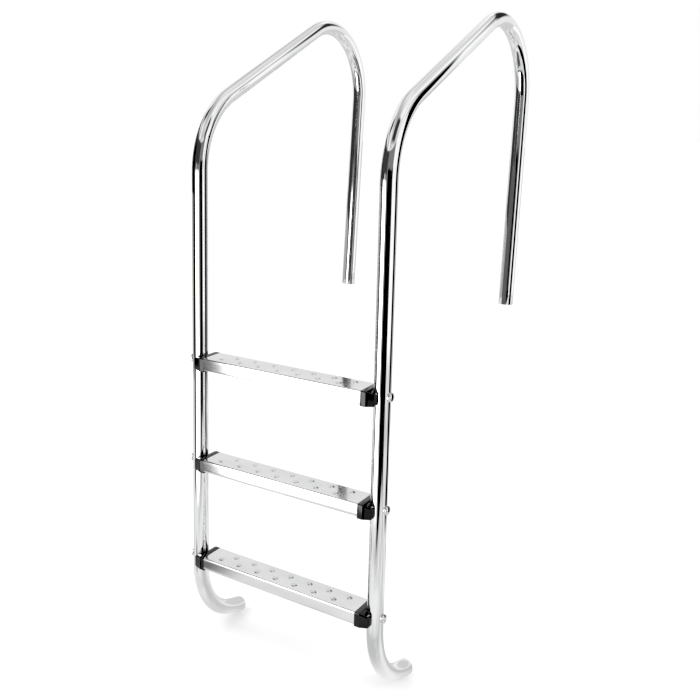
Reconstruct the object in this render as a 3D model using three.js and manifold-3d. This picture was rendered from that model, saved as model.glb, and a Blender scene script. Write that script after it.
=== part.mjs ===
// A three-tread pool ladder: two bent stainless tubes, three pressed treads and their end fittings.
// Millimetres. +X runs across the ladder to the right of someone facing it from the pool, +Y runs
// from the pool towards the deck, +Z is up. The origin is midway between the two deck-leg ends.

import * as THREE from "three";
import { mergeVertices } from "three/addons/utils/BufferGeometryUtils.js";
import Module from "manifold-3d";

const wasm = await Module();
wasm.setup();

const degrees = THREE.MathUtils.degToRad;

// Driving dimensions. Heights in the ladder's own group count from the top walking surface.
const RAIL_SPACING = 560;
const TUBE_RADIUS = 21.5;
const TUBE_WALL = 1.2;
const TUBE_SIDES = 24;
const TREAD_PITCH = 290;
const CLEARANCE = 0.3;

// The rail's centre line, from the foot that bends to the pool wall up to the deck leg.
const FOOT = { bendStart: -630, radius: 200, sweep: degrees(73), tail: 50 };
const SHOULDER = { bendStart: 502, radius: 220, sweep: degrees(66) };
const ARM_LENGTH = 485;
const CROWN = { radius: 210, sweep: degrees(118) };
const LEG_LENGTH = 625;
const BEND_STEP = degrees(8.5);

// The tread: a folded sheet with pressed dimples.
const TREAD = { depth: 76, height: 31, sheet: 1.5, corner: 2.5, lip: 13 };
const DIMPLE = { radius: 9, height: 3, pitch: 60, perRow: 7, rowOffset: 15, sides: 10 };

// The moulded cap on each tread end. Distances along X count from the ladder's middle plane.
const CAP = {
  plugStart: 214,
  collarStart: 240,
  webStart: 253,
  bodyStart: 255,
  backEnd: 260,
  end: RAIL_SPACING / 2,
  collar: 1.5,
  hang: 4.6,
  corner: 3.5,
  wall: 3,
  bossHalf: 13,
  shoulder: 275,
  frontTaper: 5.5,
  topDrop: 5.5,
  lipRise: 2.5,
  noseWidth: 9,
  noseTop: 4,
  noseBottom: 7.5,
};

// The bolt that clamps a tread end to its rail, with its saddle washer and captive nut.
const BOLT = { depth: 14, radius: 5, headRadius: 12, headHeight: 6, rim: 1.2, length: 74 };
const WASHER = { radius: 11, thickness: 1.4 };
const NUT = { acrossFlats: 17, height: 8, pocket: 12 };

const FOOT_PLUG = { recess: 1.5, face: 3, skirt: 2.5, depth: 24 };

const LEVELS = { top: 0, middle: -TREAD_PITCH, bottom: -2 * TREAD_PITCH };
const SIDES = { left: -1, right: 1 };

const MATERIALS = {
  rail: { color: 0xdfe2e4, roughness: 0.06, metalness: 1 },
  tread: { color: 0xd2d4d5, roughness: 0.3, metalness: 1 },
  cap: { color: 0x0d0d0e, roughness: 0.22, metalness: 0 },
  fastener: { color: 0xdadcdd, roughness: 0.12, metalness: 1 },
  foot_plug: { color: 0x161617, roughness: 0.6, metalness: 0 },
};

// ---- Solids ---------------------------------------------------------------------------------

function toManifold(geometry) {
  const bare = geometry.clone();
  bare.deleteAttribute("normal");
  bare.deleteAttribute("uv");
  const merged = mergeVertices(bare, 1e-4);
  const vertProperties = new Float32Array(merged.attributes.position.array);
  const triVerts = new Uint32Array(merged.index.array);
  return new wasm.Manifold(new wasm.Mesh({ numProp: 3, vertProperties, triVerts }));
}

function toGeometry(solid) {
  const mesh = solid.getMesh();
  const geometry = new THREE.BufferGeometry();
  geometry.setAttribute("position", new THREE.BufferAttribute(new Float32Array(mesh.vertProperties), 3));
  geometry.setIndex(new THREE.BufferAttribute(new Uint32Array(mesh.triVerts), 1));
  geometry.computeVertexNormals();
  return geometry;
}

function boxSolid([x0, x1], [y0, y1], [z0, z1]) {
  const box = new THREE.BoxGeometry(x1 - x0, y1 - y0, z1 - z0);
  box.translate((x0 + x1) / 2, (y0 + y1) / 2, (z0 + z1) / 2);
  return toManifold(box);
}

// A prism or cylinder along X, centred on the given height.
function rodSolid(radius, [x0, x1], sides, z) {
  const rod = new THREE.CylinderGeometry(radius, radius, x1 - x0, sides);
  rod.rotateZ(Math.PI / 2);
  rod.translate((x0 + x1) / 2, 0, z);
  return toManifold(rod);
}

// A flat outline in Y and Z, drawn out along X.
function extrudeAlongX(shape, [x0, x1], curveSegments) {
  const geometry = new THREE.ExtrudeGeometry(shape, { depth: x1 - x0, bevelEnabled: false, curveSegments });
  const yAxis = new THREE.Vector3(0, 1, 0);
  const zAxis = new THREE.Vector3(0, 0, 1);
  const xAxis = new THREE.Vector3(1, 0, 0);
  geometry.applyMatrix4(new THREE.Matrix4().makeBasis(yAxis, zAxis, xAxis));
  geometry.translate(x0, 0, 0);
  return toManifold(geometry);
}

// A shape turned about X: each profile point is a radius and a distance along X.
function turnedAboutX(profile, sides) {
  const points = profile.map(([radius, x]) => new THREE.Vector2(radius, x));
  const geometry = new THREE.LatheGeometry(points, sides);
  geometry.rotateZ(-Math.PI / 2);
  return geometry;
}

function roundedOutline(halfWidth, bottom, top, radius) {
  const shape = new THREE.Shape();
  shape.absarc(halfWidth - radius, bottom + radius, radius, -Math.PI / 2, 0);
  shape.absarc(halfWidth - radius, top - radius, radius, 0, Math.PI / 2);
  shape.absarc(-halfWidth + radius, top - radius, radius, Math.PI / 2, Math.PI);
  shape.absarc(-halfWidth + radius, bottom + radius, radius, Math.PI, 1.5 * Math.PI);
  return shape;
}

// Rounded along the top, square along the bottom, as a folded sheet is.
function foldedOutline(halfWidth, bottom, top, radius) {
  const shape = new THREE.Shape();
  shape.absarc(halfWidth - radius, top - radius, radius, 0, Math.PI / 2);
  shape.absarc(-halfWidth + radius, top - radius, radius, Math.PI / 2, Math.PI);
  shape.lineTo(-halfWidth, bottom);
  shape.lineTo(halfWidth, bottom);
  return shape;
}

// ---- Rails ----------------------------------------------------------------------------------

// The rail's stations: a point and a heading at both ends of each straight and along each bend.
// A heading is the angle from +Z towards +Y, and every bend turns the same way.
function railStations() {
  let heading = -FOOT.sweep;
  let y = FOOT.radius * (1 - Math.cos(FOOT.sweep)) + FOOT.tail * Math.sin(FOOT.sweep);
  let z = FOOT.bendStart - FOOT.radius * Math.sin(FOOT.sweep) - FOOT.tail * Math.cos(FOOT.sweep);
  const stations = [];
  const addStation = () => {
    const tangent = new THREE.Vector3(0, Math.sin(heading), Math.cos(heading));
    stations.push({ point: new THREE.Vector3(0, y, z), tangent });
  };
  const straight = (length) => {
    y += length * Math.sin(heading);
    z += length * Math.cos(heading);
    addStation();
  };
  const bend = (radius, sweep) => {
    const steps = Math.ceil(sweep / BEND_STEP);
    const turn = sweep / steps;
    for (let step = 0; step < steps; step += 1) {
      y += radius * (Math.cos(heading) - Math.cos(heading + turn));
      z += radius * (Math.sin(heading + turn) - Math.sin(heading));
      heading += turn;
      addStation();
    }
  };
  addStation();
  straight(FOOT.tail);
  bend(FOOT.radius, FOOT.sweep);
  straight(SHOULDER.bendStart - FOOT.bendStart);
  bend(SHOULDER.radius, SHOULDER.sweep);
  straight(ARM_LENGTH);
  bend(CROWN.radius, CROWN.sweep);
  straight(LEG_LENGTH);
  return stations;
}

const STATIONS = railStations();
const FOOT_END = STATIONS[0];
const LEG_END = STATIONS[STATIONS.length - 1];

// A curve that gives ExtrudeGeometry one section at each station.
class StationCurve extends THREE.Curve {
  station(share) {
    return STATIONS[Math.round(share * (STATIONS.length - 1))];
  }

  getPointAt(share) {
    return this.station(share).point.clone();
  }

  getTangentAt(share) {
    return this.station(share).tangent.clone();
  }
}

// A bent tube, open at both ends, with a bolt hole through both walls at each tread.
function railGeometry() {
  const section = new THREE.Shape();
  section.absarc(0, 0, TUBE_RADIUS, 0, 2 * Math.PI);
  const bore = new THREE.Path();
  bore.absarc(0, 0, TUBE_RADIUS - TUBE_WALL, 0, 2 * Math.PI);
  section.holes.push(bore);
  let solid = toManifold(new THREE.ExtrudeGeometry(section, {
    steps: STATIONS.length - 1,
    curveSegments: TUBE_SIDES / 2,
    extrudePath: new StationCurve(),
  }));
  const reach = TUBE_RADIUS + 1;
  for (const level of Object.values(LEVELS)) {
    const hole = rodSolid(BOLT.radius + CLEARANCE, [-reach, reach], 12, level - BOLT.depth);
    solid = solid.subtract(hole);
  }
  return toGeometry(solid);
}

// ---- Treads ---------------------------------------------------------------------------------

// A folded channel: walking surface, two aprons and a narrow return along each lower edge.
function treadOutline() {
  const half = TREAD.depth / 2;
  const side = half - TREAD.corner;
  const innerRadius = TREAD.corner - TREAD.sheet;
  const low = -TREAD.height;
  const shape = new THREE.Shape();
  shape.moveTo(half, low);
  shape.lineTo(half, -TREAD.corner);
  shape.absarc(side, -TREAD.corner, TREAD.corner, 0, Math.PI / 2);
  shape.absarc(-side, -TREAD.corner, TREAD.corner, Math.PI / 2, Math.PI);
  shape.lineTo(-half, low);
  shape.lineTo(-half + TREAD.lip, low);
  shape.lineTo(-half + TREAD.lip, low + TREAD.sheet);
  shape.lineTo(-half + TREAD.sheet, low + TREAD.sheet);
  shape.absarc(-side, -TREAD.corner, innerRadius, Math.PI, Math.PI / 2, true);
  shape.absarc(side, -TREAD.corner, innerRadius, Math.PI / 2, 0, true);
  shape.lineTo(half - TREAD.sheet, low + TREAD.sheet);
  shape.lineTo(half - TREAD.lip, low + TREAD.sheet);
  shape.lineTo(half - TREAD.lip, low);
  return shape;
}

// A low dome on a short round base, with the base's underside at the given height.
function domeSolid(radius, underside, x, y) {
  const sphere = (radius ** 2 + DIMPLE.height ** 2) / (2 * DIMPLE.height);
  const edge = Math.asin(radius / sphere);
  const rise = (angle) => sphere * Math.cos(angle) - sphere + DIMPLE.height;
  const profile = [
    new THREE.Vector2(0, underside),
    new THREE.Vector2(radius, underside),
    new THREE.Vector2(radius, 0),
    new THREE.Vector2(sphere * Math.sin(edge / 2), rise(edge / 2)),
    new THREE.Vector2(0, DIMPLE.height),
  ];
  const dome = new THREE.LatheGeometry(profile, DIMPLE.sides);
  dome.rotateX(Math.PI / 2);
  dome.translate(x, y, 0);
  return toManifold(dome);
}

// Dimple centres: two rows, set half a pitch apart.
function dimpleCentres() {
  const centres = [];
  for (const row of [-1, 1]) {
    for (let index = 0; index < DIMPLE.perRow; index += 1) {
      const place = index - (DIMPLE.perRow - 1) / 2 + row / 4;
      centres.push({ x: place * DIMPLE.pitch, y: row * DIMPLE.rowOffset });
    }
  }
  return centres;
}

// The dimples rise above the walking surface and are hollow underneath.
function treadGeometry() {
  const end = CAP.webStart - CLEARANCE;
  const underside = -TREAD.sheet / 2;
  let solid = extrudeAlongX(treadOutline(), [-end, end], 2);
  for (const { x, y } of dimpleCentres()) {
    const raised = domeSolid(DIMPLE.radius, underside, x, y);
    const hollow = domeSolid(DIMPLE.radius - TREAD.sheet, underside, x, y);
    solid = solid.add(raised).subtract(hollow.translate([0, 0, -TREAD.sheet]));
  }
  return toGeometry(solid);
}

// ---- End fittings, drawn for a right-hand tread end -------------------------------------------

const COLLAR_HALF = TREAD.depth / 2 + CLEARANCE + CAP.collar;
const COLLAR_TOP = CLEARANCE + CAP.collar;
const COLLAR_BOTTOM = -TREAD.height - CLEARANCE - CAP.collar - CAP.hang;

// The collar closes over the outside of the tread end, with a web against the sheet's edge.
function collarSolid() {
  const outline = roundedOutline(COLLAR_HALF, COLLAR_BOTTOM, COLLAR_TOP, CAP.corner);
  const half = TREAD.depth / 2 + CLEARANCE;
  const inside = foldedOutline(half, -TREAD.height - CLEARANCE, CLEARANCE, TREAD.corner);
  const block = extrudeAlongX(outline, [CAP.collarStart, CAP.bodyStart], 2);
  return block.subtract(extrudeAlongX(inside, [CAP.collarStart - 1, CAP.webStart], 2));
}

// The plug fills the channel's end: a thin-walled box with a solid boss round the bolt.
function plugSolid() {
  const half = TREAD.depth / 2 - TREAD.sheet - CLEARANCE;
  const top = -TREAD.sheet - CLEARANCE;
  const bottom = -TREAD.height + TREAD.sheet + CLEARANCE;
  const corner = TREAD.corner - TREAD.sheet;
  const span = [CAP.plugStart, CAP.bodyStart];
  let solid = extrudeAlongX(roundedOutline(half, bottom, top, corner), span, 2);
  for (const side of [-1, 1]) {
    const limits = [side * CAP.bossHalf, side * (half - CAP.wall)].sort((a, b) => a - b);
    const pocket = boxSolid(
      [CAP.plugStart - 1, CAP.webStart],
      limits,
      [bottom + CAP.wall, top - CAP.wall],
    );
    solid = solid.subtract(pocket);
  }
  return solid;
}

// The body narrows and slopes away from the collar to the tube. Its front lip reaches across to the
// tube's middle plane, and its back stops beside the tube.
function bodySolid() {
  const inside = CAP.bodyStart - 1;
  const top = COLLAR_TOP - CAP.topDrop;
  const bottom = COLLAR_BOTTOM + CAP.lipRise;
  const half = COLLAR_HALF - CAP.frontTaper;
  const backShare = (CAP.backEnd - CAP.bodyStart) / (CAP.shoulder - CAP.bodyStart);
  const backHalf = COLLAR_HALF - CAP.frontTaper * backShare;
  const side = new THREE.Shape([
    new THREE.Vector2(inside, COLLAR_BOTTOM),
    new THREE.Vector2(CAP.bodyStart, COLLAR_BOTTOM),
    new THREE.Vector2(CAP.shoulder, bottom),
    new THREE.Vector2(CAP.end, bottom + CAP.noseBottom),
    new THREE.Vector2(CAP.end, top - CAP.noseTop),
    new THREE.Vector2(CAP.shoulder, top),
    new THREE.Vector2(CAP.bodyStart, COLLAR_TOP),
    new THREE.Vector2(inside, COLLAR_TOP),
  ]);
  const plan = new THREE.Shape([
    new THREE.Vector2(inside, -COLLAR_HALF),
    new THREE.Vector2(CAP.bodyStart, -COLLAR_HALF),
    new THREE.Vector2(CAP.shoulder, -half),
    new THREE.Vector2(CAP.end, CAP.noseWidth - half),
    new THREE.Vector2(CAP.end, 0),
    new THREE.Vector2(CAP.backEnd, 0),
    new THREE.Vector2(CAP.backEnd, backHalf),
    new THREE.Vector2(CAP.bodyStart, COLLAR_HALF),
    new THREE.Vector2(inside, COLLAR_HALF),
  ]);
  const fromSide = new THREE.ExtrudeGeometry(side, { depth: 2 * COLLAR_HALF, bevelEnabled: false });
  fromSide.rotateX(Math.PI / 2);
  fromSide.translate(0, COLLAR_HALF, 0);
  const fromAbove = new THREE.ExtrudeGeometry(plan, { depth: 2 * TREAD.depth, bevelEnabled: false });
  fromAbove.translate(0, 0, -TREAD.depth);
  return toManifold(fromSide).intersect(toManifold(fromAbove));
}

// A standing cylinder on the tube's axis, a little larger than the tube.
function tubeSeat(gap) {
  const radius = TUBE_RADIUS + gap;
  const seat = new THREE.CylinderGeometry(radius, radius, 2 * TREAD.depth, 2 * TUBE_SIDES);
  seat.rotateX(Math.PI / 2);
  seat.translate(CAP.end, 0, 0);
  return toManifold(seat);
}

function capGeometry() {
  const nutRadius = (NUT.acrossFlats / 2 + CLEARANCE) / Math.cos(Math.PI / 6);
  const boltHole = rodSolid(BOLT.radius + CLEARANCE, [CAP.plugStart, CAP.end], 12, -BOLT.depth);
  const pocketEnd = CAP.plugStart + NUT.pocket;
  const nutPocket = rodSolid(nutRadius, [CAP.plugStart - 1, pocketEnd], 6, -BOLT.depth);
  const whole = collarSolid().add(plugSolid()).add(bodySolid());
  return toGeometry(whole.subtract(tubeSeat(2 * CLEARANCE)).subtract(boltHole).subtract(nutPocket));
}

const WASHER_FACE = CAP.end + TUBE_RADIUS + CLEARANCE + WASHER.thickness;
const HEAD_FACE = WASHER_FACE + CLEARANCE;

// A low-domed head on a plain shank, along X.
function boltGeometry() {
  const { radius, headRadius, headHeight, rim, length } = BOLT;
  const rise = headHeight - rim;
  const sphere = (headRadius ** 2 + rise ** 2) / (2 * rise);
  const edge = Math.asin(headRadius / sphere);
  const crown = [0.75, 0.5, 0.25].map((share) => [
    sphere * Math.sin(edge * share),
    headHeight - sphere * (1 - Math.cos(edge * share)),
  ]);
  const profile = [
    [0, -length],
    [radius - 1, -length],
    [radius, 1 - length],
    [radius, 0],
    [headRadius, 0],
    [headRadius, rim],
    ...crown,
    [0, headHeight],
  ];
  const geometry = turnedAboutX(profile, 16);
  geometry.translate(HEAD_FACE, 0, -BOLT.depth);
  return toGeometry(toManifold(geometry));
}

// A washer with a flat outer face and an inner face hollowed to sit on the tube.
function washerGeometry() {
  const disc = rodSolid(WASHER.radius, [CAP.end + TUBE_RADIUS / 2, WASHER_FACE], 20, -BOLT.depth);
  const hole = rodSolid(BOLT.radius + CLEARANCE, [CAP.end, WASHER_FACE + 1], 12, -BOLT.depth);
  return toGeometry(disc.subtract(hole).subtract(tubeSeat(CLEARANCE)));
}

// The nut lies in the plug's hexagonal pocket.
function nutGeometry() {
  const start = CAP.plugStart + NUT.pocket - CLEARANCE - NUT.height;
  const span = [start, start + NUT.height];
  const hexRadius = NUT.acrossFlats / 2 / Math.cos(Math.PI / 6);
  const hex = rodSolid(hexRadius, span, 6, -BOLT.depth);
  const bore = rodSolid(BOLT.radius + CLEARANCE, [span[0] - 1, span[1] + 1], 12, -BOLT.depth);
  return toGeometry(hex.subtract(bore));
}

// A cup-shaped plug, drawn about X with the tube's end at zero and the tube behind it.
function footPlugGeometry() {
  const radius = TUBE_RADIUS - TUBE_WALL - 2 * CLEARANCE;
  const face = -FOOT_PLUG.recess;
  const profile = [
    [0, face - FOOT_PLUG.face],
    [radius - FOOT_PLUG.skirt, face - FOOT_PLUG.face],
    [radius - FOOT_PLUG.skirt, -FOOT_PLUG.depth],
    [radius, -FOOT_PLUG.depth],
    [radius, face],
    [0, face],
  ];
  return toGeometry(toManifold(turnedAboutX(profile, TUBE_SIDES)));
}

// ---- Assembly -------------------------------------------------------------------------------

function part(name, geometry, slot) {
  const mesh = new THREE.Mesh(geometry, new THREE.MeshStandardMaterial(MATERIALS[slot]));
  mesh.name = name;
  return mesh;
}

function addRail(parent, side) {
  const rail = part(`rail_${side}`, railGeometry(), "rail");
  rail.position.x = SIDES[side] * CAP.end;
  parent.add(rail);
}

function addFootPlug(parent, side) {
  const plug = part(`foot_plug_${side}`, footPlugGeometry(), "foot_plug");
  const outward = FOOT_END.tangent.clone().negate();
  plug.quaternion.setFromUnitVectors(new THREE.Vector3(1, 0, 0), outward);
  plug.position.set(SIDES[side] * CAP.end, FOOT_END.point.y, FOOT_END.point.z);
  parent.add(plug);
}

// Left-hand fittings are the mirror image of right-hand ones.
function mirrored(geometry) {
  const copy = geometry.clone();
  copy.scale(-1, 1, 1);
  copy.index.array.reverse();
  copy.computeVertexNormals();
  return copy;
}

function addEndFittings(parent, level, side) {
  const add = (name, geometry, slot) => {
    const handed = side === "left" ? mirrored(geometry) : geometry;
    const mesh = part(`${name}_${level}_${side}`, handed, slot);
    mesh.position.z = LEVELS[level];
    parent.add(mesh);
  };
  add("tread_cap", capGeometry(), "cap");
  add("bolt", boltGeometry(), "fastener");
  add("saddle_washer", washerGeometry(), "fastener");
  add("nut", nutGeometry(), "fastener");
}

function addTread(parent, level) {
  const tread = part(`tread_${level}`, treadGeometry(), "tread");
  tread.position.z = LEVELS[level];
  parent.add(tread);
}

function buildLadder() {
  const ladder = new THREE.Group();
  ladder.position.set(0, -LEG_END.point.y, -LEG_END.point.z);
  for (const side of Object.keys(SIDES)) {
    addRail(ladder, side);
    addFootPlug(ladder, side);
  }
  for (const level of Object.keys(LEVELS)) {
    addTread(ladder, level);
    for (const side of Object.keys(SIDES)) {
      addEndFittings(ladder, level, side);
    }
  }
  const model = new THREE.Group();
  model.add(ladder);
  return model;
}

const model = buildLadder();

export default model;
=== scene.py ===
"""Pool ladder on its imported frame: polished tubes, pressed treads, moulded caps, bolts and plugs.

Lengths are in metres. Pieces are drawn in the ladder's own frame, whose origin is the middle of the
top walking surface, and moved from there to where the frame's nodes are.
"""

import math

import bmesh
import bpy
from mathutils import Matrix, Vector


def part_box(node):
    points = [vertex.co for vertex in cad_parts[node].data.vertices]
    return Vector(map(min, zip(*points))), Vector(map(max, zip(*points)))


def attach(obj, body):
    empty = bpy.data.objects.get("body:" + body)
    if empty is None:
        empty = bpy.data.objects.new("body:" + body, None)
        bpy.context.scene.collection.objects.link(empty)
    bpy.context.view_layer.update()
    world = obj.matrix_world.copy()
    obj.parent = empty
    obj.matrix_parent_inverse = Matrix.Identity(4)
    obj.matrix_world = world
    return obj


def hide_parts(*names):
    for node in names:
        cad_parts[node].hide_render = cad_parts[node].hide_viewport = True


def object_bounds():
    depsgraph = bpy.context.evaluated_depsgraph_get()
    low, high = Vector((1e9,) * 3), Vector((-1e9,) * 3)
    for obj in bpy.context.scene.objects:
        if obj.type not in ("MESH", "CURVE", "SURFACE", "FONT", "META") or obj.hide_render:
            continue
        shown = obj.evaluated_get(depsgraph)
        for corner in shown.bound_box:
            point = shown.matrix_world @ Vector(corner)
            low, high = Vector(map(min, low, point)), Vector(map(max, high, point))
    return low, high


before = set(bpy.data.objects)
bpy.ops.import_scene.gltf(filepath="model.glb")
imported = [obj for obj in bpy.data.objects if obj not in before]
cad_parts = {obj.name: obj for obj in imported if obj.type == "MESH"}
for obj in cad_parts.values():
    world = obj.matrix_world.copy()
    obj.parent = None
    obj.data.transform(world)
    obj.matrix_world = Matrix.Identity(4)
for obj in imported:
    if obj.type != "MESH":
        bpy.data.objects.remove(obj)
cad_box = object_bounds()

MM = 0.001
LEVELS = ("top", "middle", "bottom")
SIDES = {"left": -1, "right": 1}

# The rail: the same centre line as the frame's tubes.
TUBE_RADIUS = 21.5 * MM
TUBE_WALL = 1.2 * MM
FOOT = {"start": -630 * MM, "radius": 200 * MM, "sweep": math.radians(73), "tail": 50 * MM}
SHOULDER = {"start": 502 * MM, "radius": 220 * MM, "sweep": math.radians(66)}
ARM_LENGTH = 485 * MM
CROWN = {"radius": 210 * MM, "sweep": math.radians(118)}
LEG_LENGTH = 625 * MM

# The folded sheet: "corner" is the radius of the top folds, "fold" that of the lower ones.
TREAD = {
    "depth": 76 * MM,
    "height": 31 * MM,
    "sheet": 1.5 * MM,
    "corner": 2.5 * MM,
    "fold": 2.2 * MM,
    "lip": 13 * MM,
}
# A dimple's height falls as (1 - share ** crown) ** skirt, with share from 0 at its middle to 1.
DIMPLE = {
    "radius": 9.0 * MM,
    "height": 3.0 * MM,
    "pitch": 60 * MM,
    "per_row": 7,
    "row": 15 * MM,
    "crown": 2.6,
    "skirt": 1.5,
}

# Fittings. Distances along X count from the ladder's middle plane.
GAP = 0.3 * MM
BOLT = {"depth": 14 * MM, "radius": 5 * MM, "head": 12 * MM, "rise": 6 * MM, "length": 74 * MM}
WASHER = {"radius": 11 * MM, "thickness": 1.4 * MM}
NUT = {"flats": 17 * MM, "height": 8 * MM, "pocket": 12 * MM}
CAP = {
    "plug": 214 * MM,
    "collar": 240 * MM,
    "web": 253 * MM,
    "body": 255 * MM,
    "shoulder": 275 * MM,
    "back": 260 * MM,
    "end": 280 * MM,
    "proud": 1.8 * MM,
    "hang": 4.6 * MM,
    "corner": 3.5 * MM,
    "taper": 5.5 * MM,
    "rise": 2.5 * MM,
    "nose_side": 8.6 * MM,
    "nose_top": 4 * MM,
    "nose_bottom": 7.5 * MM,
    "wall": 3 * MM,
    "boss": 13 * MM,
}

top_low, top_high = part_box("tread_top")
ORIGIN_Y = (top_low.y + top_high.y) / 2
WALKING_Z = {level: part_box(f"tread_{level}")[0].z + TREAD["height"] for level in LEVELS}


# ---- Mesh helpers ---------------------------------------------------------------------------


def make_mesh(name, points, faces, uvs=None):
    """A mesh from points and faces, with faces turned outwards and an optional UV per point."""
    mesh = bpy.data.meshes.new(name)
    mesh.from_pydata(points, [], faces)
    if uvs is not None:
        layer = mesh.uv_layers.new(name="along")
        for loop in mesh.loops:
            layer.data[loop.index].uv = uvs[loop.vertex_index]
    outward = bmesh.new()
    outward.from_mesh(mesh)
    bmesh.ops.recalc_face_normals(outward, faces=outward.faces)
    outward.to_mesh(mesh)
    outward.free()
    return mesh


def shade(mesh, angle=math.radians(32)):
    """Smooth faces, with edges sharper than the angle kept sharp."""
    mesh.polygons.foreach_set("use_smooth", [True] * len(mesh.polygons))
    mesh.set_sharp_from_angle(angle=angle)
    mesh.update()
    return mesh


def place(name, mesh, material, node, z=0.0, extra=()):
    """A piece that stands for the node, in the ladder's frame at height z."""
    piece = bpy.data.objects.new(name, mesh)
    bpy.context.scene.collection.objects.link(piece)
    if not mesh.materials:
        mesh.materials.append(material)
    piece.location = (0.0, ORIGIN_Y, z)
    bpy.context.view_layer.update()
    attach(piece, "root")
    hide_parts(node, *extra)
    return piece


def applied(mesh, modify):
    """The mesh with the modifiers that modify(object) adds."""
    holder = bpy.data.objects.new("holder", mesh)
    bpy.context.scene.collection.objects.link(holder)
    tools = modify(holder) or []
    graph = bpy.context.evaluated_depsgraph_get()
    result = bpy.data.meshes.new_from_object(holder.evaluated_get(graph))
    for used in [holder, *tools]:
        bpy.data.objects.remove(used)
    return result


def combine(mesh, other, operation):
    """Boolean DIFFERENCE, UNION or INTERSECT of two closed meshes."""

    def modify(holder):
        tool = bpy.data.objects.new("tool", other)
        bpy.context.scene.collection.objects.link(tool)
        step = holder.modifiers.new("combine", "BOOLEAN")
        step.operation = operation
        step.solver = "EXACT"
        step.object = tool
        return [tool]

    return applied(mesh, modify)


def loft(name, sections, close=False):
    """A closed skin over rings of equal length. The first and last rings are capped unless closed."""
    count = len(sections[0])
    points = [point for ring in sections for point in ring]
    faces = []
    last = len(sections) if close else len(sections) - 1
    for row in range(last):
        a = row * count
        b = (row + 1) % len(sections) * count
        for k in range(count):
            n = (k + 1) % count
            faces.append((a + k, a + n, b + n, b + k))
    if not close:
        faces.append(tuple(range(count))[::-1])
        faces.append(tuple(range((len(sections) - 1) * count, len(sections) * count)))
    return make_mesh(name, points, faces)


def arc(centre_y, centre_z, radius, start, end, steps):
    """Points on an arc in Y and Z, from start to end in degrees."""
    points = []
    for step in range(steps + 1):
        angle = math.radians(start + (end - start) * step / steps)
        points.append((centre_y + radius * math.cos(angle), centre_z + radius * math.sin(angle)))
    return points


def rounded_outline(half, bottom, top, radius, steps=8):
    """A rectangle with rounded corners."""
    outline = arc(half - radius, bottom + radius, radius, -90, 0, steps)
    outline += arc(half - radius, top - radius, radius, 0, 90, steps)
    outline += arc(-half + radius, top - radius, radius, 90, 180, steps)
    outline += arc(-half + radius, bottom + radius, radius, 180, 270, steps)
    return outline


def prism(name, outline, x0, x1):
    """A Y and Z outline drawn along X."""
    return loft(name, [[(x, y, z) for y, z in outline] for x in (x0, x1)])


def block(name, x, y, z):
    """A box between pairs of limits."""
    return prism(name, [(y[0], z[0]), (y[1], z[0]), (y[1], z[1]), (y[0], z[1])], x[0], x[1])


def turned(name, profile, sides):
    """A shape turned about X. Each profile point is a radius and a distance along X."""
    rings = []
    for radius, x in profile:
        ring = []
        for side in range(sides):
            angle = 2 * math.pi * side / sides
            ring.append((x, radius * math.cos(angle), radius * math.sin(angle)))
        rings.append(ring)
    return loft(name, rings)


def moved(mesh, matrix):
    """A moved copy of a mesh, with its faces still outward after a mirror."""
    copy = mesh.copy()
    copy.transform(matrix)
    if matrix.determinant() < 0:
        copy.flip_normals()
    return copy


def softened(mesh, width):
    """The mesh with its edges sharper than 38 degrees rounded."""

    def modify(holder):
        step = holder.modifiers.new("soften", "BEVEL")
        step.width = width
        step.segments = 2
        step.limit_method = "ANGLE"
        step.angle_limit = math.radians(38)
        step.use_clamp_overlap = True
        step.harden_normals = False

    return applied(mesh, modify)


# ---- Materials ------------------------------------------------------------------------------


class Nodes:
    """A material's node tree, with short calls for the nodes that the finishes share."""

    def __init__(self, name):
        self.material = bpy.data.materials.new(name)
        self.material.use_nodes = True
        self.tree = self.material.node_tree
        self.shader = self.tree.nodes["Principled BSDF"]
        self.coordinates = self.tree.nodes.new("ShaderNodeTexCoord")

    def link(self, source, target):
        self.tree.links.new(source, target)

    def set(self, **values):
        for name, value in values.items():
            self.shader.inputs[name.replace("_", " ")].default_value = value

    def noise(self, scale, detail=4.0, stretch=(1.0, 1.0, 1.0), space="Object", rough=0.5):
        mapping = self.tree.nodes.new("ShaderNodeMapping")
        mapping.inputs["Scale"].default_value = stretch
        self.link(self.coordinates.outputs[space], mapping.inputs["Vector"])
        noise = self.tree.nodes.new("ShaderNodeTexNoise")
        noise.inputs["Scale"].default_value = scale
        noise.inputs["Detail"].default_value = detail
        noise.inputs["Roughness"].default_value = rough
        self.link(mapping.outputs["Vector"], noise.inputs["Vector"])
        return noise.outputs["Fac"]

    def spread(self, value, low, high, start=0.3, end=0.7):
        node = self.tree.nodes.new("ShaderNodeMapRange")
        node.inputs["From Min"].default_value = start
        node.inputs["From Max"].default_value = end
        node.inputs["To Min"].default_value = low
        node.inputs["To Max"].default_value = high
        self.link(value, node.inputs["Value"])
        return node.outputs["Result"]

    def add(self, first, second):
        node = self.tree.nodes.new("ShaderNodeMath")
        node.operation = "ADD"
        self.link(first, node.inputs[0])
        self.link(second, node.inputs[1])
        return node.outputs[0]

    def colour(self, factor, first, second):
        node = self.tree.nodes.new("ShaderNodeMix")
        node.data_type = "RGBA"
        node.inputs[6].default_value = (*first, 1.0)
        node.inputs[7].default_value = (*second, 1.0)
        self.link(factor, node.inputs[0])
        self.link(node.outputs[2], self.shader.inputs["Base Color"])

    def bump(self, height, distance, strength=1.0, under=None):
        node = self.tree.nodes.new("ShaderNodeBump")
        node.inputs["Strength"].default_value = strength
        node.inputs["Distance"].default_value = distance
        self.link(height, node.inputs["Height"])
        if under is not None:
            self.link(under, node.inputs["Normal"])
        return node.outputs["Normal"]


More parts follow.
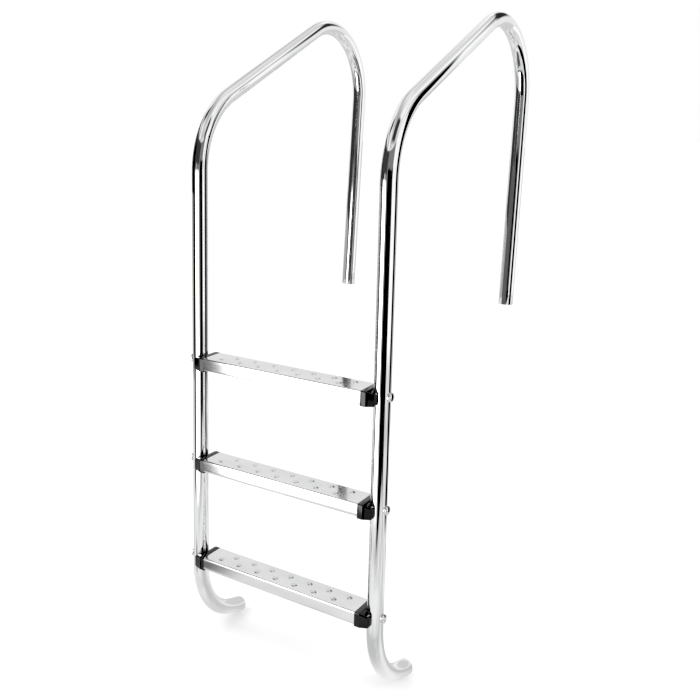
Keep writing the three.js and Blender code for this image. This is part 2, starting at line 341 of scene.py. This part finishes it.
def polished_steel():
    """Mirror-polished tube: a trace of polishing lines round the tube, haze and slight waviness."""
    n = Nodes("polished_steel")
    n.set(Metallic=1.0, IOR=2.5)
    tone = n.spread(n.noise(9.0, 3.0), 0.0, 1.0)
    n.colour(tone, (0.905, 0.91, 0.92), (0.955, 0.955, 0.955))
    haze = n.spread(n.noise(26.0, 3.0), 0.02, 0.042)
    lines = n.spread(n.noise(240.0, 2.0, (0.05, 1.0, 1.0), "UV"), 0.0, 0.004)
    n.link(n.add(haze, lines), n.shader.inputs["Roughness"])
    wave = n.bump(n.noise(7.0, 1.0), 0.0005, 0.2)
    grain = n.bump(n.noise(1400.0, 2.0, (0.04, 1.0, 1.0), "UV"), 0.0000012, 0.3, wave)
    n.link(grain, n.shader.inputs["Normal"])
    return n.material


def pressed_steel():
    """Bright rolled sheet: fine lines along the tread, soft smears and a little rolling waviness."""
    n = Nodes("pressed_steel")
    n.set(Metallic=1.0, IOR=2.5)
    tone = n.spread(n.noise(14.0, 5.0, (0.4, 1.0, 1.0)), 0.0, 1.0)
    n.colour(tone, (0.80, 0.805, 0.81), (0.88, 0.88, 0.88))
    smear = n.spread(n.noise(30.0, 6.0, (0.5, 1.2, 1.0), rough=0.6), 0.045, 0.10)
    lines = n.spread(n.noise(700.0, 3.0, (0.02, 1.0, 1.0)), 0.0, 0.03)
    n.link(n.add(smear, lines), n.shader.inputs["Roughness"])
    wave = n.bump(n.noise(11.0, 2.0), 0.0008, 0.3)
    grain = n.bump(n.noise(1200.0, 2.0, (0.02, 1.0, 1.0)), 0.00001, 0.5, wave)
    n.link(grain, n.shader.inputs["Normal"])
    return n.material


def bolt_steel():
    """Polished bolt steel with faint turning marks."""
    n = Nodes("bolt_steel")
    n.set(Metallic=1.0, IOR=2.5)
    tone = n.spread(n.noise(120.0, 3.0), 0.0, 1.0)
    n.colour(tone, (0.78, 0.785, 0.80), (0.90, 0.90, 0.90))
    n.link(n.spread(n.noise(260.0, 5.0), 0.03, 0.09), n.shader.inputs["Roughness"])
    n.link(n.bump(n.noise(900.0, 3.0), 0.000004, 0.4), n.shader.inputs["Normal"])
    return n.material


def black_plastic():
    """Glossy black moulding: slight orange peel, patchy gloss and a few paler scuffs."""
    n = Nodes("black_plastic")
    n.set(Metallic=0.0, IOR=1.52)
    scuff = n.spread(n.noise(190.0, 8.0, (0.4, 1.0, 1.0), rough=0.7), 0.0, 1.0, 0.62, 0.8)
    n.colour(scuff, (0.0008, 0.0008, 0.0009), (0.008, 0.008, 0.0085))
    gloss = n.spread(n.noise(70.0, 5.0), 0.07, 0.15)
    n.link(n.add(gloss, n.spread(scuff, 0.0, 0.15, 0.0, 1.0)), n.shader.inputs["Roughness"])
    n.link(n.bump(n.noise(420.0, 3.0), 0.00003, 0.4), n.shader.inputs["Normal"])
    return n.material


def matt_rubber():
    """Dull black rubber with a fine pebble."""
    n = Nodes("matt_rubber")
    n.set(Metallic=0.0, IOR=1.5)
    tone = n.spread(n.noise(90.0, 5.0), 0.0, 1.0)
    n.colour(tone, (0.012, 0.012, 0.012), (0.03, 0.03, 0.031))
    n.link(n.spread(n.noise(300.0, 4.0), 0.5, 0.75), n.shader.inputs["Roughness"])
    n.link(n.bump(n.noise(1500.0, 4.0), 0.00008, 0.6), n.shader.inputs["Normal"])
    return n.material


# ---- Rails ----------------------------------------------------------------------------------


def rail_line():
    """Points and headings along the rail, from the foot's end to the deck leg's end."""
    heading = -FOOT["sweep"]
    y = FOOT["radius"] * (1 - math.cos(heading)) - FOOT["tail"] * math.sin(heading)
    z = FOOT["start"] + FOOT["radius"] * math.sin(heading) - FOOT["tail"] * math.cos(heading)
    stations = [(y, z, heading, 0.0)]

    def straight(length, steps):
        nonlocal y, z
        for _ in range(steps):
            y += length / steps * math.sin(heading)
            z += length / steps * math.cos(heading)
            stations.append((y, z, heading, stations[-1][3] + length / steps))

    def bend(radius, sweep):
        nonlocal y, z, heading
        steps = round(math.degrees(sweep) / 1.5)
        turn = sweep / steps
        for _ in range(steps):
            y += radius * (math.cos(heading) - math.cos(heading + turn))
            z += radius * (math.sin(heading + turn) - math.sin(heading))
            heading += turn
            stations.append((y, z, heading, stations[-1][3] + radius * turn))

    straight(FOOT["tail"], 2)
    bend(FOOT["radius"], FOOT["sweep"])
    straight(SHOULDER["start"] - FOOT["start"], 24)
    bend(SHOULDER["radius"], SHOULDER["sweep"])
    straight(ARM_LENGTH, 10)
    bend(CROWN["radius"], CROWN["sweep"])
    straight(LEG_LENGTH, 12)
    return stations


STATIONS = rail_line()


def rail_mesh(x, sides=96):
    """An open-ended tube with slightly rounded cut edges, as one closed skin."""
    inner = TUBE_RADIUS - TUBE_WALL
    lip = 0.35 * MM
    rows = []
    first, last = STATIONS[0], STATIONS[-1]
    for station in STATIONS[1:-1]:
        rows.append((station, TUBE_RADIUS, 0.0))
    rows.insert(0, (first, TUBE_RADIUS, lip))
    rows.insert(0, (first, TUBE_RADIUS - 0.3 * lip, 0.3 * lip))
    rows.insert(0, (first, TUBE_RADIUS - lip, 0.0))
    rows.append((last, TUBE_RADIUS, -lip))
    rows.append((last, TUBE_RADIUS - 0.3 * lip, -0.3 * lip))
    rows.append((last, TUBE_RADIUS - lip, 0.0))
    rows.append((last, inner + lip, 0.0))
    rows.append((last, inner, -lip))
    for station in STATIONS[-2:0:-1]:
        rows.append((station, inner, 0.0))
    rows.append((first, inner, lip))
    rows.append((first, inner + lip, 0.0))
    points = []
    uvs = []
    for (y, z, heading, run), radius, shift in rows:
        ahead = Vector((0.0, math.sin(heading), math.cos(heading)))
        side = Vector((1.0, 0.0, 0.0))
        over = ahead.cross(side)
        centre = Vector((x, y, z)) + ahead * shift
        for k in range(sides):
            angle = 2 * math.pi * k / sides
            points.append(tuple(centre + radius * (math.cos(angle) * side + math.sin(angle) * over)))
            uvs.append((abs(k / sides - 0.5) * 2 * math.pi * TUBE_RADIUS, run))
    faces = []
    for row in range(len(rows)):
        a = row * sides
        b = (row + 1) % len(rows) * sides
        for k in range(sides):
            n = (k + 1) % sides
            faces.append((a + k, a + n, b + n, b + k))
    return shade(make_mesh("rail", points, faces, uvs), math.radians(50))


# ---- Treads ---------------------------------------------------------------------------------


def dimple_centres():
    """Two rows of dimples, set half a pitch apart."""
    centres = []
    for row in (-1, 1):
        for index in range(DIMPLE["per_row"]):
            place_in_row = index - (DIMPLE["per_row"] - 1) / 2 + row / 4
            centres.append((place_in_row * DIMPLE["pitch"], row * DIMPLE["row"]))
    return centres


def sheet_profile():
    """The sheet's outer line round the channel, from one return lip to the other."""
    half = TREAD["depth"] / 2
    corner = TREAD["corner"]
    low = -TREAD["height"]
    small = TREAD["fold"]
    line = [(half - TREAD["lip"], low), (half - small - 4 * MM, low)]
    line += arc(half - small, low + small, small, -90, 0, 5)
    line += [(half, low + share * (-low - corner)) for share in (0.3, 0.5, 0.7)]
    line += arc(half - corner, -corner, corner, 0, 90, 8)
    across = 2 * (half - corner)
    steps = round(across / (1.4 * MM))
    line += [(half - corner - across * k / steps, 0.0) for k in range(1, steps)]
    line += arc(-half + corner, -corner, corner, 90, 180, 8)
    line += [(-half, low + share * (-low - corner)) for share in (0.7, 0.5, 0.3)]
    line += arc(-half + small, low + small, small, 180, 270, 5)
    line += [(-half + small + 4 * MM, low), (-half + TREAD["lip"], low)]
    return line


def tread_mesh():
    """The folded sheet with its dimples pressed up from below."""
    end = CAP["web"] - GAP
    profile = sheet_profile()
    columns = round(2 * end / (1.5 * MM))
    centres = dimple_centres()
    flat = TREAD["depth"] / 2 - TREAD["corner"]
    points = []
    for column in range(columns + 1):
        x = -end + 2 * end * column / columns
        near = [c for c in centres if abs(c[0] - x) < DIMPLE["radius"]]
        for y, z in profile:
            if z > -0.1 * MM and abs(y) < flat:
                for cx, cy in near:
                    share = math.hypot(x - cx, y - cy) / DIMPLE["radius"]
                    if share < 1:
                        z += DIMPLE["height"] * (1 - share ** DIMPLE["crown"]) ** DIMPLE["skirt"]
            points.append((x, y, z))
    faces = []
    count = len(profile)
    for column in range(columns):
        for row in range(count - 1):
            a = column * count + row
            faces.append((a, a + 1, a + count + 1, a + count))
    mesh = bpy.data.meshes.new("tread")
    mesh.from_pydata(points, [], faces)
    mesh.update()
    on_top = mesh.polygons[len(mesh.polygons) // 2 + 40]
    if on_top.normal.z < 0:
        mesh.flip_normals()

    def modify(holder):
        step = holder.modifiers.new("sheet", "SOLIDIFY")
        step.thickness = TREAD["sheet"]
        step.offset = -1.0
        step.use_even_offset = True

    return shade(applied(mesh, modify), math.radians(50))


# ---- End fittings, drawn for a right-hand tread end --------------------------------------------


def cap_sections():
    """Rounded outlines from the collar's open edge to the lip beside the tube."""
    half = TREAD["depth"] / 2 + CAP["proud"]
    top = CAP["proud"]
    bottom = -TREAD["height"] - CAP["proud"] - CAP["hang"]
    corner = CAP["corner"]
    rows = []
    for x, inset in ((0.0, 0.9), (0.25, 0.35), (0.9, 0.0)):
        rows.append((CAP["collar"] + x * MM, inset * MM, inset * MM, inset * MM, corner))
    rows.append((CAP["body"] - 0.2 * MM, 0.0, 0.0, 0.0, corner))
    length = CAP["shoulder"] - CAP["body"]
    step = 0.25 * MM
    for share in (0.02, 0.35, 0.7, 1.0):
        slope = step + (CAP["taper"] - step) * share
        rows.append((CAP["body"] + share * length, slope, slope, CAP["rise"] * share, corner))
    nose = CAP["end"] - CAP["shoulder"]
    for share in (0.12, 0.3, 0.5, 0.75, 1.0):
        curve = 0.7 * share + 0.3 * (1 - math.sqrt(max(0.0, 1 - share * share)))
        side = CAP["taper"] + CAP["nose_side"] * curve
        upper = CAP["taper"] + CAP["nose_top"] * curve
        lower = CAP["rise"] + CAP["nose_bottom"] * curve
        rows.append((CAP["shoulder"] + share * nose, side, upper, lower, corner))
    sections = []
    for x, side, upper, lower, radius in rows:
        outline = rounded_outline(half - side, bottom + lower, top - upper, radius)
        sections.append([(x, y, z) for y, z in outline])
    return sections


def cap_mesh():
    """The moulding: collar over the sheet, plug inside it, and a lip against the tube."""
    half = TREAD["depth"] / 2
    low = -TREAD["height"]
    cap = loft("cap", cap_sections())
    cavity = arc(half + GAP - TREAD["corner"], GAP - TREAD["corner"], TREAD["corner"], 0, 90, 8)
    cavity += arc(-half - GAP + TREAD["corner"], GAP - TREAD["corner"], TREAD["corner"], 90, 180, 8)
    small = 2 * MM
    cavity += arc(-half - GAP + small, low - GAP + small, small, 180, 270, 5)
    cavity += arc(half + GAP - small, low - GAP + small, small, 270, 360, 5)
    cap = combine(cap, prism("cavity", cavity, CAP["collar"] - MM, CAP["web"]), "DIFFERENCE")
    seat = turned("seat", [(TUBE_RADIUS + 2 * GAP, -80 * MM), (TUBE_RADIUS + 2 * GAP, 80 * MM)], 96)
    seat.transform(Matrix.Translation((CAP["end"], 0, 0)) @ Matrix.Rotation(math.pi / 2, 4, "Y"))
    cap = combine(cap, seat, "DIFFERENCE")
    behind = block("behind", (CAP["back"], CAP["end"] + MM), (0.0, 60 * MM), (-60 * MM, 30 * MM))
    cap = combine(cap, behind, "DIFFERENCE")
    inset = TREAD["sheet"] + GAP
    plug_half = half - inset
    plug = rounded_outline(plug_half, low + inset, -inset, 2.5 * MM, 5)
    cap = combine(cap, prism("plug", plug, CAP["plug"], CAP["body"]), "UNION")
    for side in (-1, 1):
        limits = sorted((side * CAP["boss"], side * (plug_half - CAP["wall"])))
        depth = (low + inset + CAP["wall"], -inset - CAP["wall"])
        pocket = block("pocket", (CAP["plug"] - MM, CAP["web"]), limits, depth)
        cap = combine(cap, pocket, "DIFFERENCE")
    shift = Matrix.Translation((0, 0, -BOLT["depth"]))
    reach = (NUT["flats"] / 2 + GAP) / math.cos(math.pi / 6)
    hexagon = turned("hexagon", [(reach, CAP["plug"] - MM), (reach, CAP["plug"] + NUT["pocket"])], 6)
    cap = combine(cap, moved(hexagon, shift), "DIFFERENCE")
    bore = BOLT["radius"] + GAP
    hole = turned("hole", [(bore, CAP["plug"]), (bore, CAP["end"] + MM)], 48)
    cap = combine(cap, moved(hole, shift), "DIFFERENCE")
    return shade(softened(cap, 0.5 * MM), math.radians(30))


def bolt_mesh():
    """A domed head with a rounded rim on a plain shank."""
    face = CAP["end"] + TUBE_RADIUS + WASHER["thickness"] + 2 * GAP
    head, rise = BOLT["head"], BOLT["rise"]
    radius = BOLT["radius"]
    tip = -BOLT["length"]
    profile = [(0.02 * MM, tip), (radius - MM, tip), (radius, MM + tip)]
    profile += [(radius, -0.4 * MM), (radius + 0.4 * MM, 0.0), (head - 0.5 * MM, 0.0)]
    profile += [(head - 0.15 * MM, 0.12 * MM), (head, 0.5 * MM), (head, 1.0 * MM)]
    for step in range(1, 13):
        angle = math.pi / 2 * step / 12
        profile.append((max(head * math.cos(angle), 0.02 * MM), MM + (rise - MM) * math.sin(angle)))
    mesh = turned("bolt", profile, 64)
    mesh.transform(Matrix.Translation((face, 0, -BOLT["depth"])))
    return shade(mesh, math.radians(45))


def washer_mesh(sides=64):
    """A round washer whose inner face follows the tube."""
    outer = CAP["end"] + TUBE_RADIUS + GAP + WASHER["thickness"]
    seat = TUBE_RADIUS + GAP
    hole = BOLT["radius"] + GAP
    rim = WASHER["radius"]
    rings = []
    for radius, back in ((hole, 0.15), (hole + 0.2 * MM, 0.0), (rim - 0.35 * MM, 0.0), (rim, 0.35)):
        rings.append([(radius, outer - back * MM)] * sides)
    for share in (1.0, 0.75, 0.5, 0.25, 0.0):
        rings.append([(hole + share * (rim - hole), None)] * sides)
    sections = []
    for ring in rings:
        section = []
        for k, (radius, x) in enumerate(ring):
            angle = 2 * math.pi * k / sides
            y, z = radius * math.cos(angle), radius * math.sin(angle)
            if x is None:
                x = CAP["end"] + math.sqrt(seat * seat - y * y)
            section.append((x, y, z - BOLT["depth"]))
        sections.append(section)
    return shade(loft("washer", sections, close=True), math.radians(45))


def nut_mesh():
    """A hexagon nut with chamfered corners and a plain bore."""
    start = CAP["plug"] + NUT["pocket"] - GAP - NUT["height"]
    end = start + NUT["height"]
    reach = NUT["flats"] / 2 / math.cos(math.pi / 6)
    nut = turned("nut", [(reach, start), (reach, end)], 6)
    cone = [(reach - 1.4 * MM, start), (reach + 0.1 * MM, start + MM)]
    cone += [(reach + 0.1 * MM, end - MM), (reach - 1.4 * MM, end)]
    nut = combine(nut, turned("cone", cone, 96), "INTERSECT")
    bore = BOLT["radius"] + GAP
    nut = combine(nut, turned("bore", [(bore, start - MM), (bore, end + MM)], 48), "DIFFERENCE")
    nut.transform(Matrix.Translation((0, 0, -BOLT["depth"])))
    return shade(softened(nut, 0.2 * MM), math.radians(30))


def foot_plug_mesh():
    """A cup-shaped plug with a rounded rim, just inside the open foot."""
    y, z, heading, _ = STATIONS[0]
    radius = TUBE_RADIUS - TUBE_WALL - 2 * GAP
    face = -1.5 * MM
    inner, floor = radius - 2.5 * MM, face - 3 * MM
    profile = [(0.02 * MM, floor), (inner, floor), (inner, -24 * MM)]
    profile += [(radius, -24 * MM), (radius, face - 1.2 * MM), (radius - 0.35 * MM, face - 0.35 * MM)]
    profile += [(radius - 1.2 * MM, face), (0.6 * radius, face), (0.02 * MM, face)]
    mesh = turned("foot_plug", profile, 96)
    outward = Vector((0.0, -math.sin(heading), -math.cos(heading)))
    turn = Vector((1, 0, 0)).rotation_difference(outward).to_matrix().to_4x4()
    mesh.transform(Matrix.Translation((0, y, z)) @ turn)
    return shade(mesh, math.radians(40))


# ---- The ladder -----------------------------------------------------------------------------


def build_ladder():
    """Every piece of the ladder, each standing for its own node."""
    steel = polished_steel()
    sheet = pressed_steel()
    fastener = bolt_steel()
    plastic = black_plastic()
    rubber = matt_rubber()
    base = WALKING_Z["top"]
    plug = foot_plug_mesh()
    for side, sign in SIDES.items():
        offset = sign * CAP["end"]
        place(f"tube_{side}", rail_mesh(offset), steel, f"rail_{side}", base)
        stopper = moved(plug, Matrix.Translation((offset, 0, 0)))
        place(f"stopper_{side}", stopper, rubber, f"foot_plug_{side}", base)
    tread = tread_mesh()
    fittings = {
        "tread_cap": (cap_mesh(), plastic, "cap"),
        "bolt": (bolt_mesh(), fastener, "fastener"),
        "saddle_washer": (washer_mesh(), fastener, "fastener"),
        "nut": (nut_mesh(), fastener, "fastener"),
    }
    mirror = Matrix.Scale(-1, 4, (1, 0, 0))
    for side in SIDES:
        for kind, (mesh, material, slot) in fittings.items():
            handed = moved(mesh, mirror) if side == "left" else mesh
            for level in LEVELS:
                node = f"{kind}_{level}_{side}"
                place(f"fine_{node}", handed, material, node, WALKING_Z[level])
    for level in LEVELS:
        place(f"sheet_{level}", tread, sheet, f"tread_{level}", WALKING_Z[level])


# ---- Studio ---------------------------------------------------------------------------------


FLOOR_SPAN = 40.0
FLOOR_DROP = 0.5 * MM
FLOOR_GREY = 0.94
FLOOR_GLOW = 0.09
CARD_LIFT = 0.4 * MM
WALL_STEP = 20
BLACK_LEVEL = 0.018
WHITE = (1.0, 1.0, 1.0, 1.0)

# The camera: angles in degrees, place from the middle of the top walking surface.
CAMERA = {
    "azimuth": 35.214,
    "elevation": 9.995,
    "roll": 0.324,
    "lens": 47.72,
    "shift": (0.1423, -0.1185),
    "at": (1.2629, -1.9497, 0.6816),
}


def card_material(name, level, soft, other, stretch):
    """A tone, clouded towards another one, that fades out over a share of the card at each edge."""
    material = bpy.data.materials.new(name)
    material.use_nodes = True
    tree = material.node_tree
    tree.nodes.clear()
    output = tree.nodes.new("ShaderNodeOutputMaterial")
    glow = tree.nodes.new("ShaderNodeEmission")
    glow.inputs["Color"].default_value = WHITE
    glow.inputs["Strength"].default_value = level
    clear = tree.nodes.new("ShaderNodeBsdfTransparent")
    mix = tree.nodes.new("ShaderNodeMixShader")
    split = tree.nodes.new("ShaderNodeSeparateXYZ")
    uv = tree.nodes.new("ShaderNodeTexCoord")
    if other is not None:
        mapping = tree.nodes.new("ShaderNodeMapping")
        mapping.inputs["Scale"].default_value = (*stretch, 1.0)
        tree.links.new(uv.outputs["UV"], mapping.inputs["Vector"])
        cloud = tree.nodes.new("ShaderNodeTexNoise")
        cloud.inputs["Scale"].default_value = 1.0
        cloud.inputs["Detail"].default_value = 3.0
        tree.links.new(mapping.outputs["Vector"], cloud.inputs["Vector"])
        tone = tree.nodes.new("ShaderNodeMapRange")
        tone.interpolation_type = "SMOOTHSTEP"
        tone.inputs["From Min"].default_value = 0.36
        tone.inputs["From Max"].default_value = 0.64
        tone.inputs["To Min"].default_value = level
        tone.inputs["To Max"].default_value = other
        tree.links.new(cloud.outputs["Fac"], tone.inputs["Value"])
        tree.links.new(tone.outputs["Result"], glow.inputs["Strength"])
    tree.links.new(uv.outputs["UV"], split.inputs["Vector"])
    fades = []
    for axis, share in zip("XY", soft):
        near = tree.nodes.new("ShaderNodeMath")
        near.operation = "PINGPONG"
        near.inputs[1].default_value = 0.5
        tree.links.new(split.outputs[axis], near.inputs[0])
        fade = tree.nodes.new("ShaderNodeMapRange")
        fade.interpolation_type = "SMOOTHSTEP"
        fade.inputs["From Max"].default_value = max(share, 0.0001)
        tree.links.new(near.outputs[0], fade.inputs["Value"])
        fades.append(fade.outputs["Result"])
    both = tree.nodes.new("ShaderNodeMath")
    both.operation = "MULTIPLY"
    tree.links.new(fades[0], both.inputs[0])
    tree.links.new(fades[1], both.inputs[1])
    tree.links.new(both.outputs[0], mix.inputs["Fac"])
    tree.links.new(clear.outputs["BSDF"], mix.inputs[1])
    tree.links.new(glow.outputs["Emission"], mix.inputs[2])
    tree.links.new(mix.outputs["Shader"], output.inputs["Surface"])
    return material


def studio_card(name, corners, level, soft=(0.05, 0.05), other=None, stretch=(1.0, 1.0)):
    """A four-cornered card in the ladder's frame, seen only in reflections."""
    shift = Vector((0.0, ORIGIN_Y, WALKING_Z["top"]))
    mesh = bpy.data.meshes.new(name)
    mesh.from_pydata([tuple(Vector(c) + shift) for c in corners], [], [(0, 1, 2, 3)])
    layer = mesh.uv_layers.new(name="card")
    for loop, uv in zip(mesh.loops, ((0, 0), (1, 0), (1, 1), (0, 1))):
        layer.data[loop.index].uv = uv
    card = bpy.data.objects.new(name, mesh)
    bpy.context.scene.collection.objects.link(card)
    mesh.materials.append(card_material(f"{name}_tone", level, soft, other, stretch))
    card.visible_camera = False
    card.visible_diffuse = False
    card.visible_shadow = False
    card.visible_transmission = False


def upright(name, start, end, low, high, level, soft=(0.05, 0.05)):
    """A standing card over a line on the floor."""
    corners = [(*start, low), (*end, low), (*end, high), (*start, high)]
    studio_card(name, corners, level, soft)


def level_card(name, outline, height, level, soft, other=None, stretch=(1.0, 1.0)):
    """A card that lies at one height."""
    studio_card(name, [(x, y, height) for x, y in outline], level, soft, other, stretch)


def wall_round(name, radius, start, end, low, high, level):
    """Standing cards round the ladder, between two bearings counted from the front to the right."""
    count = max(1, round((end - start) / WALL_STEP))
    for k in range(count):
        a, b = (math.radians(start + (end - start) * (k + n) / count) for n in (0, 1))
        ends = [(radius * math.sin(t), -radius * math.cos(t) + 0.3) for t in (a, b)]
        upright(f"{name}_{k}", ends[0], ends[1], low, high, level, (0.0, 0.0))


def add_light(name, place_at, aim, size, power):
    data = bpy.data.lights.new(name, "AREA")
    data.shape = "DISK"
    data.size = size
    data.energy = power
    light = bpy.data.objects.new(name, data)
    bpy.context.scene.collection.objects.link(light)
    light.location = place_at
    light.rotation_euler = (Vector(aim) - Vector(place_at)).to_track_quat("-Z", "Y").to_euler()
    light.visible_glossy = False


def square(reach):
    return [(-reach, -reach), (reach, -reach), (reach, reach), (-reach, reach)]


def build_floor(floor_z):
    """A plain pale floor just below the feet."""
    mesh = bpy.data.meshes.new("floor")
    mesh.from_pydata([(x, y, floor_z) for x, y in square(FLOOR_SPAN)], [], [(0, 1, 2, 3)])
    floor = bpy.data.objects.new("floor", mesh)
    bpy.context.scene.collection.objects.link(floor)
    pale = Nodes("pale_floor")
    pale.set(Base_Color=(FLOOR_GREY, FLOOR_GREY, FLOOR_GREY, 1.0), Roughness=1.0)
    pale.set(Emission_Color=WHITE, Emission_Strength=FLOOR_GLOW)
    mesh.materials.append(pale.material)


def build_lights():
    """White surroundings and two soft lights that no surface mirrors."""
    world = bpy.data.worlds.new("soft_white")
    bpy.context.scene.world = world
    world.use_nodes = True
    world.node_tree.nodes["Background"].inputs["Color"].default_value = WHITE
    world.node_tree.nodes["Background"].inputs["Strength"].default_value = 1.0
    add_light("key", (-2.5, -3.2, 3.4), (0, -0.5, 0), 2.4, 35)
    add_light("fill", (3.0, -2.0, 2.6), (0, -0.5, 0), 2.0, 25)


def build_cards(low):
    """The tones that the steel mirrors. Plans are in X and Y, and low is the floor's height."""
    ground = low + CARD_LIFT
    level_card("ground_tone", square(4), ground, 0.58, (0.1, 0.1), 0.9, (13.0, 22.0))
    bright = [(-2.2, -2.0), (0.1, -2.0), (0.1, 0.2), (-2.2, 0.2)]
    level_card("ground_left", bright, ground + MM, 0.86, (0.3, 0.3))
    # A dark patch on the ground card: a painted shadow beside the ladder, which the foot hooks mirror
    # as dark streaks.
    shadow_outline = [(-0.80, -0.62), (-0.40, -0.62), (-0.34, -0.24), (-0.72, -0.24)]
    level_card("ground_painted_shadow", shadow_outline, ground + 2 * MM, 0.16, (0.45, 0.45))
    wall_round("back_low", 3.0, 150, 250, low, 0.45, 0.66)
    wall_round("back_high", 3.0, 150, 250, 0.45, 2.8, 0.86)
    wall_round("front_gap", 3.0, -20, 62, low, 2.2, 0.22)
    wall_round("left_side", 3.0, 250, 340, low, 0.3, 0.42)
    wall_round("left_dark", 2.4, 258, 335, 0.25, 1.75, 0.05)
    level_card("ceiling", square(3.5), 2.8, 0.42, (0.0, 0.0), 1.1, (5.0, 1.5))
    beyond = [(-0.1, 2.2, 1.3), (1.2, 2.0, 1.3), (1.2, 1.7, 2.2), (-0.1, 1.9, 2.2)]
    studio_card("dark_beyond", beyond, 0.04, (0.25, 0.25))
    upright("dark_behind", (-0.02, 0.60), (0.38, 0.60), -0.35, 0.56, 0.12, (0.12, 0.1))
    aloft = [(-1.6, -0.6, 1.6), (-0.8, -0.6, 2.0), (-0.8, 0.1, 2.0), (-1.6, 0.1, 1.6)]
    studio_card("dark_aloft", aloft, 0.02, (0.25, 0.25))
    upright("softbox", (-0.77, -0.79), (0.12, -1.06), low, 0.52, 4.5, (0.12, 0.12))
    upright("dark_left", (-0.76, -0.80), (-1.25, -0.45), low, 0.52, 0.08, (0.12, 0.06))
    upright("dark_above", (-1.20, -0.55), (0.30, -1.00), 0.56, 1.15, 0.06, (0.1, 0.15))
    upright("dark_front", (0.33, -0.79), (1.45, -0.905), low, 0.75, 0.0, (0.06, 0.06))
    upright("dark_front_low", (1.40, -0.90), (2.6, -1.02), low, -0.1, 0.0, (0.06, 0.2))
    upright("dark_side", (1.45, -0.905), (1.37, -0.44), low, 0.75, 0.0, (0.1, 0.06))
    upright("dark_back", (1.21, 0.44), (0.67, 0.94), low, 1.3, 0.0, (0.1, 0.06))
    upright("dark_strip", (-0.515, -0.07), (-0.43, -0.185), -0.12, 0.7, 0.0, (0.2, 0.1))
    over = [(0.10, -0.60, 1.05), (0.75, -0.60, 1.05), (0.75, -0.20, 1.5), (0.10, -0.20, 1.5)]
    studio_card("dark_over", over, 0.05, (0.2, 0.2))


def build_studio():
    floor_z = cad_box[0].z - FLOOR_DROP
    build_floor(floor_z)
    build_lights()
    build_cards(floor_z - WALKING_Z["top"])
    view = bpy.context.scene.view_settings
    view.view_transform = "Standard"
    view.use_curve_mapping = True
    view.curve_mapping.black_level = (BLACK_LEVEL, BLACK_LEVEL, BLACK_LEVEL)


def build_camera():
    azimuth, elevation, roll = (math.radians(CAMERA[a]) for a in ("azimuth", "elevation", "roll"))
    back = Vector(
        (
            math.sin(azimuth) * math.cos(elevation),
            -math.cos(azimuth) * math.cos(elevation),
            math.sin(elevation),
        )
    )
    level = Vector((math.cos(azimuth), math.sin(azimuth), 0.0))
    upright = back.cross(level)
    right = math.cos(roll) * level + math.sin(roll) * upright
    up = -math.sin(roll) * level + math.cos(roll) * upright
    data = bpy.data.cameras.new("camera")
    data.sensor_width = 36.0
    data.lens = CAMERA["lens"]
    data.shift_x, data.shift_y = CAMERA["shift"]
    camera = bpy.data.objects.new("camera", data)
    bpy.context.scene.collection.objects.link(camera)
    turn = Matrix((right, up, back)).transposed().to_4x4()
    at = Vector(CAMERA["at"]) + Vector((0.0, ORIGIN_Y, WALKING_Z["top"]))
    camera.matrix_world = Matrix.Translation(at) @ turn
    bpy.context.scene.camera = camera


build_ladder()
build_studio()
build_camera()

bpy.context.view_layer.update()
